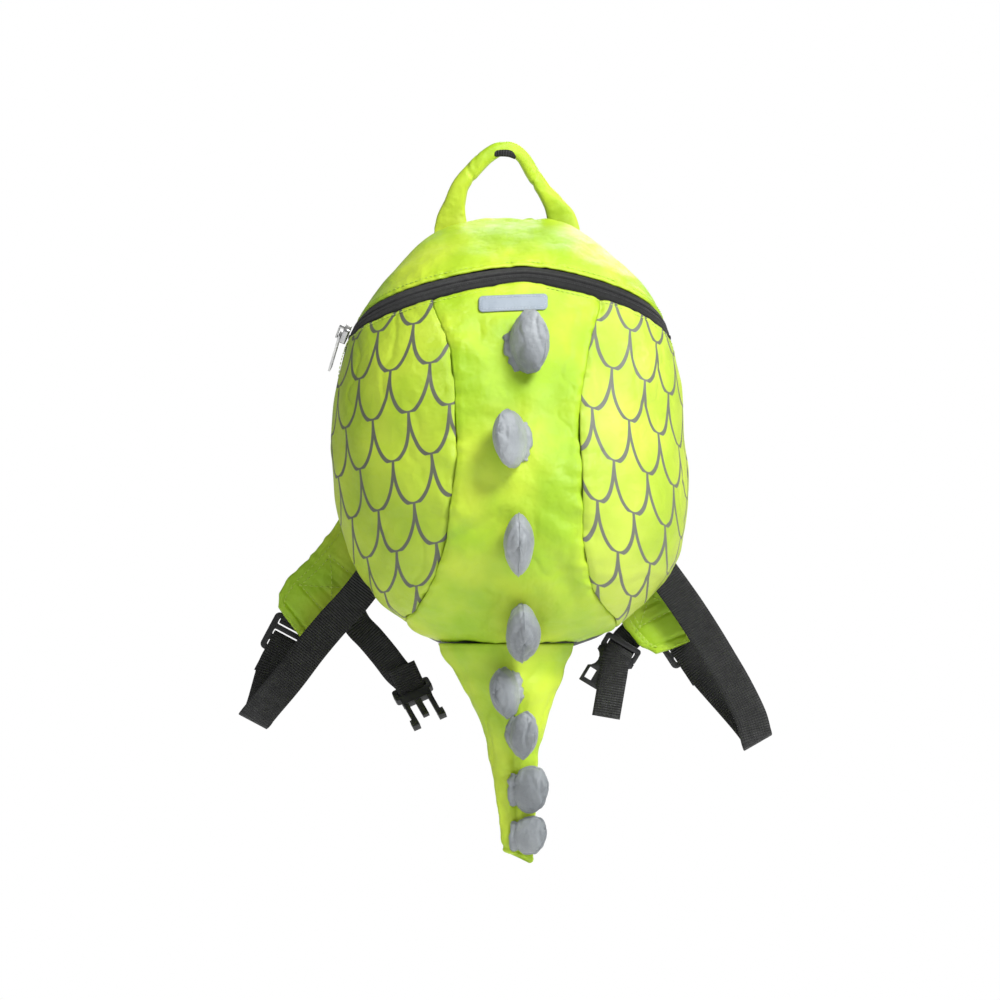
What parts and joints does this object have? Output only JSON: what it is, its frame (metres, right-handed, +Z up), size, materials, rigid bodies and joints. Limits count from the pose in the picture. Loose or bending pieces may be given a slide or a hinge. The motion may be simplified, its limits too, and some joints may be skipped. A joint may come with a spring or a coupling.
{
  "type": "kids animal backpack",
  "caption": "Small child's backpack with a domed bag, stuffed fins and a stuffed tail, a zip round its top, padded shoulder straps and a side-release chest buckle, hanging from its grab handle.",
  "frame": {"origin": "underside of the grab handle's peak, where a hook carries it", "axes": "+Z up, -Y the front with the fins, +Y the wearer's side, +X to the right as seen from the front"},
  "size_m": [0.3219, 0.1725, 0.4334],
  "materials": {
    "lime_cloth": "fine woven polyester, soft sheen",
    "printed_cloth": "fine woven polyester with grey scale print",
    "grey_cloth": "fine woven polyester",
    "label_cloth": "woven label, bare",
    "back_mesh": "air mesh",
    "black_webbing": "ribbed webbing",
    "zip_tape": "woven tape",
    "zip_coil": "nylon coil",
    "black_plastic": "moulded, satin",
    "zip_metal": "plated"
  },
  "bodies": {
    "bag": {"back_panel": "back_mesh", "top_panel": "lime_cloth", "centre_panel": "lime_cloth", "side_panel_left": "printed_cloth", "side_panel_right": "printed_cloth", "zip_tape_upper": "zip_tape", "zip_tape_lower": "zip_tape", "zip_coil": "zip_coil", "zip_slider": "zip_metal", "label": "label_cloth", "tail": "lime_cloth", "grab_handle": "lime_cloth", "rein_tab": "black_webbing", "spike_1": "grey_cloth", "spike_2": "grey_cloth", "spike_3": "grey_cloth", "spike_4": "grey_cloth", "spike_5": "grey_cloth", "spike_6": "grey_cloth", "spike_7": "grey_cloth", "spike_8": "grey_cloth", "shoulder_pad_left": "lime_cloth", "shoulder_pad_right": "lime_cloth", "webbing_left": "black_webbing", "webbing_right": "black_webbing", "ladder_lock_left": "black_plastic", "ladder_lock_right": "black_plastic", "lock_tab_left": "black_webbing", "lock_tab_right": "black_webbing", "chest_strap_left": "black_webbing", "chest_strap_right": "black_webbing", "buckle_male": "black_plastic", "buckle_female": "black_plastic"},
    "puller": {"zip_puller": "zip_metal"}
  },
  "joints": [
    {"name": "puller_swing", "type": "hinge", "parent": "bag", "child": "puller", "pos_m": [-0.10069, -0.02843, -0.10688], "axis": [0.2238, 0.8681, 0.4432], "range_deg": [0, 150]}
  ]
}
